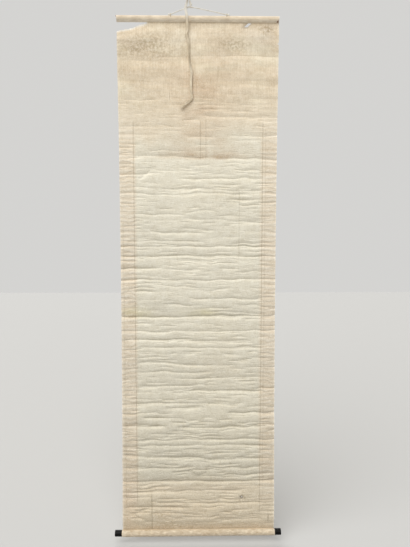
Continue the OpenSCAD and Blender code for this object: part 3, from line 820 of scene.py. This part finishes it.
solid.material_offset_rim = 2
print("sheet", len(sheet.data.polygons), "faces after the lost cells were cut out")

# %% [markdown]
# ## Backing paper: seams
# The joints of the mounted panels show through the backing as fine lines. Real grooves would need columns a
# millimetre wide, so the lines are drawn by the material at their places across the sheet. A line is a
# distance from a coordinate, cut to a span along the other one, and the darkest line wins where two meet.
# Each row gives its place, its two ends and its strength, in metres.

# %% Backing paper: seams
def maths(tree, operation, a, b=0.0):
    """A sum of two values, or of one, by the name of its operation."""
    return add(tree, "ShaderNodeMath", {"operation": operation}, i0=a, i1=b).outputs[0]


def times(tree, a, b):
    """The product of two values."""
    return maths(tree, "MULTIPLY", a, b)


def most(tree, a, b):
    """The larger of two values."""
    return maths(tree, "MAXIMUM", a, b)


def away_from(tree, value, middle):
    """How far a value is from a middle, to either side."""
    return maths(tree, "ABSOLUTE", maths(tree, "SUBTRACT", value, middle))


def seam(tree, across, at, along, low, high):
    """1 on a line at a place of one coordinate, between two places of the other."""
    thin = between(tree, away_from(tree, across, at), 0, 0.0016, 1, 0)
    start = between(tree, along, low, low + 0.01, 0, 1)
    end = between(tree, along, high - 0.01, high, 1, 0)
    return times(tree, thin, times(tree, start, end))


paper_mat, tree, shader = new_material("backing_paper", (220, 208, 182), 0.9)
spot = add(tree, "ShaderNodeTexCoord").outputs["Object"]
spot = add(tree, "ShaderNodeSeparateXYZ", Vector=spot).outputs
joints = times(tree, seam(tree, spot["Z"], -0.400, spot["X"], -0.16, -0.05), 0.7)
for x, z_low, z_high, strength in (
        (-0.178, -1.66, -0.38, 1.0), (0.238, -1.70, -0.38, 1.0), (-0.061, -0.322, -0.288, 1.0),
        (0.037, -0.51, -0.375, 1.0), (0.055, -0.51, -0.375, 0.8), (0.163, -0.83, -0.60, 0.8),
        (-0.129, -1.76, -1.62, 1.6), (0.268, -1.73, -1.695, 1.8), (-0.214, -1.70, -0.70, 0.45),
        (0.2475, -1.64, -0.40, 0.5)):
    drawn = times(tree, seam(tree, spot["X"], x, spot["Z"], z_low, z_high), strength)
    joints = most(tree, joints, drawn)
print("seam nodes", len(tree.nodes))

# %% [markdown]
# ## Backing paper: colour
# The attribute gives the paper's own tone. Over it lie what is finer than the grid: cloudy ageing in two
# sizes, pale fibres, the faint upright lines of laid paper at the head, fine ribs on the side strips, and
# dark specks with bare flecks between them. Each layer is one noise or wave, weighed by the `wear`
# attribute, so it shows only where the real sheet has it.

# %% Backing paper: colour
warm, brown = (0.85, 0.82, 0.76, 1), (0.68, 0.63, 0.54, 1)
ribbed, seamed = (0.92, 0.85, 0.77, 1), (0.48, 0.43, 0.33, 1)
tone_in = add(tree, "ShaderNodeAttribute", {"attribute_name": "tone"}).outputs
wear_in = add(tree, "ShaderNodeAttribute", {"attribute_name": "wear"}).outputs["Color"]
wear_in = add(tree, "ShaderNodeSeparateColor", Color=wear_in).outputs
fibre = noise(tree, 700, 3, (1, 1, 0.35))
laid = between(tree, noise(tree, 1.0, 2, (420, 1, 16)), 0.40, 0.60, 0.9, 0)
ribs = add(tree, "ShaderNodeTexWave", {"bands_direction": "Z"}, Scale=20.0, Distortion=6.0, Detail=4.0,
           Detail_Scale=1.2, Vector=add(tree, "ShaderNodeTexCoord").outputs["Object"]).outputs[1]
base = tone_in["Color"]
for cells, detail, amount in ((40, 7, 0.9), (170, 5, 0.6)):
    blotch = between(tree, noise(tree, cells, detail), 0.38, 0.62, amount, 0)
    base = mixed(tree, times(tree, blotch, wear_in[2]), base, warm, "MULTIPLY")
base = mixed(tree, between(tree, fibre, 0.38, 0.68, 0, 0.35), base, colour(250, 246, 236))
laid = times(tree, laid, between(tree, wear_in[2], 0.45, 0.75, 0.1, 0.6))
base = mixed(tree, laid, base, warm, "MULTIPLY")
base = mixed(tree, times(tree, between(tree, ribs, 0.2, 0.8, 0.35, 0), wear_in[1]), base, ribbed, "MULTIPLY")
specks = times(tree, between(tree, noise(tree, 120, 6), 0.46, 0.58, 0, 0.75), wear_in[0])
base = mixed(tree, specks, base, brown, "MULTIPLY")
flecks = times(tree, between(tree, noise(tree, 150, 5), 0.54, 0.66, 0, 0.4), wear_in[0])
base = mixed(tree, flecks, base, colour(246, 239, 222))
base = mixed(tree, times(tree, joints, 0.5), base, seamed, "MULTIPLY")
to_shader(tree, shader, Base_Color=base)
print("backing paper", len(tree.nodes), "nodes so far")

# %% [markdown]
# ## Backing paper: relief
# Creases and wrinkles are in the mesh. The bump holds what is finer than its rows: soft folds that run
# across, a small V-shaped pleat near the foot, the ribs of the side strips, the seams and the fibres. The
# pleat could be two more slanted creases, but the columns there are too far apart for its point. Each bump
# goes over the one before it, so they add up.

# %% Backing paper: relief
def pleat(tree, x, z, half, rise):
    """The height of a valley in the form of a V, lowest at x and z and rising to both sides."""
    side = away_from(tree, spot["X"], x)
    level = maths(tree, "ADD", spot["Z"], times(tree, side, -rise))
    depth = times(tree, between(tree, level, z - 0.003, z, 0, 1), between(tree, level, z, z + 0.014, 1, 0))
    return times(tree, depth, between(tree, side, half - 0.012, half, -1, 0))


fold = times(tree, away_from(tree, noise(tree, 1.0, 2, (34, 1, 150)), 0.5), tone_in["Alpha"])
normal = bump(tree, fold, 0.0026)
for height, distance in ((pleat(tree, 0.030, -1.565, 0.04, 0.5), 0.0025),
                         (times(tree, ribs, wear_in[1]), 0.0007), (joints, 0.0005), (fibre, 0.00025)):
    normal = bump(tree, height, distance, normal)
to_shader(tree, shader, Normal=normal)
sheet.data.materials.append(paper_mat)
print("backing paper", len(tree.nodes), "nodes")

# %% [markdown]
# ## Face
# The mount cloth has a fine twill, which is a wave turned by 38 degrees, and the bare field has none. Aged
# patches and streaks lie over both. The band round the roller is what hands grip when the scroll is rolled
# up, so it is stained in spots and rubbed pale between them. A woven image would repeat, and these noises
# don't.

# %% Face
face_mat, tree, shader = new_material("mount_face", (202, 184, 152), 0.82)
face_in = add(tree, "ShaderNodeAttribute", {"attribute_name": "face"}).outputs
gripped = add(tree, "ShaderNodeAttribute", {"attribute_name": "wear"}).outputs["Alpha"]
turned = add(tree, "ShaderNodeTexCoord").outputs["Object"]
turned = add(tree, "ShaderNodeMapping", Vector=turned, Rotation=(0, math.radians(38), 0)).outputs["Vector"]
twill = add(tree, "ShaderNodeTexWave", {"bands_direction": "X"}, Vector=turned, Scale=300.0,
            Distortion=0.6, Detail=2.0).outputs[0]
twill = times(tree, twill, between(tree, face_in["Alpha"], 0, 1, 1.0, 0.0))
aged = between(tree, noise(tree, 38, 5), 0.3, 0.75, 0.35, 0)
base = mixed(tree, aged, face_in["Color"], colour(170, 148, 116))
base = mixed(tree, times(tree, twill, 0.22), base, colour(226, 212, 184))
streak = between(tree, noise(tree, 1.0, 5, (70, 260, 260)), 0.47, 0.62, 0, 0.4)
base = mixed(tree, streak, base, (0.80, 0.74, 0.66, 1), "MULTIPLY")
spots = between(tree, noise(tree, 1.0, 5, (55, 130, 130)), 0.48, 0.66, 0, 0.75)
base = mixed(tree, times(tree, spots, gripped), base, (0.80, 0.73, 0.64, 1), "MULTIPLY")
pale = between(tree, noise(tree, 1.0, 4, (75, 160, 160)), 0.48, 0.68, 0, 0.55)
base = mixed(tree, times(tree, pale, gripped), base, colour(240, 226, 202))
normal = bump(tree, noise(tree, 1.0, 4, (16, 1, 190)), 0.0012, bump(tree, twill, 0.0003))
to_shader(tree, shader, Base_Color=base, Normal=normal, Sheen_Weight=0.1)
sheet.data.materials.append(face_mat)
print("face", len(tree.nodes), "nodes")

# %% [markdown]
# ## Torn rim
# Wherever the paper was cut or torn, its edge shows white fibre, which is tufted and quite matt. It is only
# 0.6 mm wide, so one fine noise is enough for colour and bump. With all three materials on the sheet, the
# modifier is applied. Shading by angle keeps the rim and the sharpest creases crisp and the rest smooth.

# %% Torn rim
rim_mat, tree, shader = new_material("torn_fibre", (238, 231, 214), 0.95)
tuft = noise(tree, 900, 3)
base = mixed(tree, tuft, colour(244, 239, 226), colour(214, 200, 172))
to_shader(tree, shader, Base_Color=base, Normal=bump(tree, tuft, 0.0005))
sheet.data.materials.append(rim_mat)
start_fresh()
sheet.select_set(True)
bpy.context.view_layer.objects.active = sheet
bpy.ops.object.modifier_apply(modifier="thickness")
bpy.ops.object.shade_smooth_by_angle(angle=math.radians(14))
print("sheet", len(sheet.data.polygons), "faces with its thickness")

# %% [markdown]
# ## Bare wood
# The stave and the roller are the construction's own solids. The stave's slanted end shows beside the paper:
# its wood is brown and a little pink. The roller, of which only a hair's breadth shows above its sleeve, is
# a pale softwood. Both have grain along X: noise that is stretched far more across the piece than along it,
# once coarse for the rings and once fine for the pores, which are also rougher.

# %% Bare wood
def bare_wood(name, light, dark, pore):
    """A wood from three colours: its rings run from light to dark, with pores over them."""
    m, tree, shader = new_material(name, light, 0.7)
    grain = noise(tree, 1.0, 6, (14, 420, 420))
    rings = between(tree, noise(tree, 1.0, 3, (4, 130, 130)), 0.3, 0.7, 0, 1)
    base = mixed(tree, rings, colour(*light), colour(*dark))
    base = mixed(tree, between(tree, grain, 0.5, 0.75, 0, 0.6), base, colour(*pore))
    to_shader(tree, shader, Base_Color=base, Normal=bump(tree, grain, 0.0004),
           Roughness=between(tree, grain, 0.3, 0.8, 0.6, 0.85))
    return m


stave_mat = bare_wood("stave_wood", (172, 136, 110), (128, 94, 72), (92, 66, 50))
roller_mat = bare_wood("roller_wood", (222, 203, 172), (200, 178, 144), (168, 142, 108))
print("woods", stave_mat.name, roller_mat.name)

# %% [markdown]
# ## Black lacquer
# The roller ends are turned wood under black lacquer. Lacquer on wood is never quite flat, so a low noise
# ripples its gloss, and dust makes it greyer and duller in spots. It could be a black with a clear coat over
# it, but these are old and rubbed, so a plain shader with a low specular level comes closer.

# %% Black lacquer
lacquer_mat, tree, shader = new_material("black_lacquer", (14, 12, 11), 0.4)
dust = noise(tree, 420, 5)
base = mixed(tree, between(tree, dust, 0.55, 0.8, 0, 0.3), colour(10, 9, 8), colour(40, 35, 30))
to_shader(tree, shader, Base_Color=base, Roughness=between(tree, dust, 0.35, 0.75, 0.3, 0.55),
       Normal=bump(tree, noise(tree, 160, 2), 0.0003), Specular_IOR_Level=0.1)
print("lacquer", len(tree.nodes), "nodes")

# %% [markdown]
# ## Brass wire
# The eyes are drawn brass wire that has gone pale and dull with age. A full metal would mirror the studio,
# so the shader is only partly metallic, and one noise drives tarnish, roughness and a trace of bump
# together: where the wire is darker, it is also rougher. Then each of the construction's solids gets its
# finish in every slot it has.

# %% Brass wire
wire_mat, tree, shader = new_material("eye_wire", (178, 160, 122), 0.45)
tarnish = noise(tree, 650, 4)
base = mixed(tree, between(tree, tarnish, 0.35, 0.7, 0, 1), colour(214, 198, 160), colour(150, 130, 96))
to_shader(tree, shader, Base_Color=base, Roughness=between(tree, tarnish, 0.3, 0.75, 0.3, 0.7),
       Normal=bump(tree, tarnish, 0.0001), Metallic=0.7)
for name, m in (("top_stave", stave_mat), ("roller", roller_mat), ("left_knob", lacquer_mat),
                ("right_knob", lacquer_mat), ("left_eye", wire_mat), ("right_eye", wire_mat)):
    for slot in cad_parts[name].material_slots:
        slot.material = m
    print(name, "is finished in", m.name)

# %% [markdown]
# ## What each piece stands for
# Each new piece rides on the one body and replaces the plain solid that the construction keeps for it.

# %% What each piece stands for
for piece, node, slot in ((sheet, "scroll_sheet", "sheet_paper"),
                          (hanging_cord, "hanging_cord", "cord_braid"),
                          (left_knot, "left_cord_knot", "cord_braid"),
                          (right_knot, "right_cord_knot", "cord_braid"),
                          (winding_tape, "winding_tape", "tape_weave"),
                          (tape_hitch, "tape_hitch", "tape_weave")):
    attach(piece, "root")
    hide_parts(node)
    print(piece.name, "stands for", node)

# %% [markdown]
# ## Floor and lights
# The floor is a plain pale plane just under the roller, and takes its shadow. A soft light high in front
# rakes down the sheet and brings the creases out, and a weaker one does the same for the face. Area lamps
# would fall off along 1.7 m of paper, so both are suns, and a wide angle makes their shadows soft.

# %% Floor and lights
start_fresh()
bpy.ops.mesh.primitive_plane_add(size=14, location=(0, 0, -1.80))
floor = bpy.context.object
floor.name = "floor"
floor_mat, tree, shader = new_material("floor", (178, 177, 174), 0.9)
floor.data.materials.append(floor_mat)
softness = math.radians(64)
for name, lean, turn, strength in (("key", 42, -26, 3.04), ("face_light", -42, 20, 1.8)):
    bpy.ops.object.light_add(type="SUN", location=(0, -math.copysign(2, lean), 2),
                             rotation=(math.radians(lean), 0, math.radians(turn)))
    lamp = bpy.context.object
    lamp.name = name
    lamp.data.energy = strength
    lamp.data.angle = softness
    print(name, "sun of strength", strength)

# %% [markdown]
# ## Backdrop
# The world gives an even fill. A big lit screen behind the scroll would throw light on it too, so the pale
# backdrop is the world itself, seen at another strength: camera rays get the backdrop, and so do glossy and
# transmitted ones, so that lacquer and wire show it as well. All other rays get the fill. The Standard view
# shows colours as they are written.

# %% Backdrop
world = bpy.data.worlds.new("studio")
bpy.context.scene.world = world
world.use_nodes = True
tree = world.node_tree
fill = tree.nodes["Background"]
fill.inputs["Color"].default_value = (1, 0.99, 0.97, 1)
fill.inputs["Strength"].default_value = 0.315
backdrop = add(tree, "ShaderNodeBackground", Color=(0.66, 0.655, 0.64, 1), Strength=1.0)
rays = add(tree, "ShaderNodeLightPath").outputs
seen = most(tree, rays["Is Camera Ray"], most(tree, rays["Is Glossy Ray"], rays["Is Transmission Ray"]))
both = add(tree, "ShaderNodeMixShader", i0=seen, i1=fill.outputs[0], i2=backdrop.outputs[0])
tree.links.new(both.outputs[0], tree.nodes["World Output"].inputs["Surface"])
bpy.context.scene.view_settings.view_transform = "Standard"
print("world fill", round(fill.inputs["Strength"].default_value, 3))
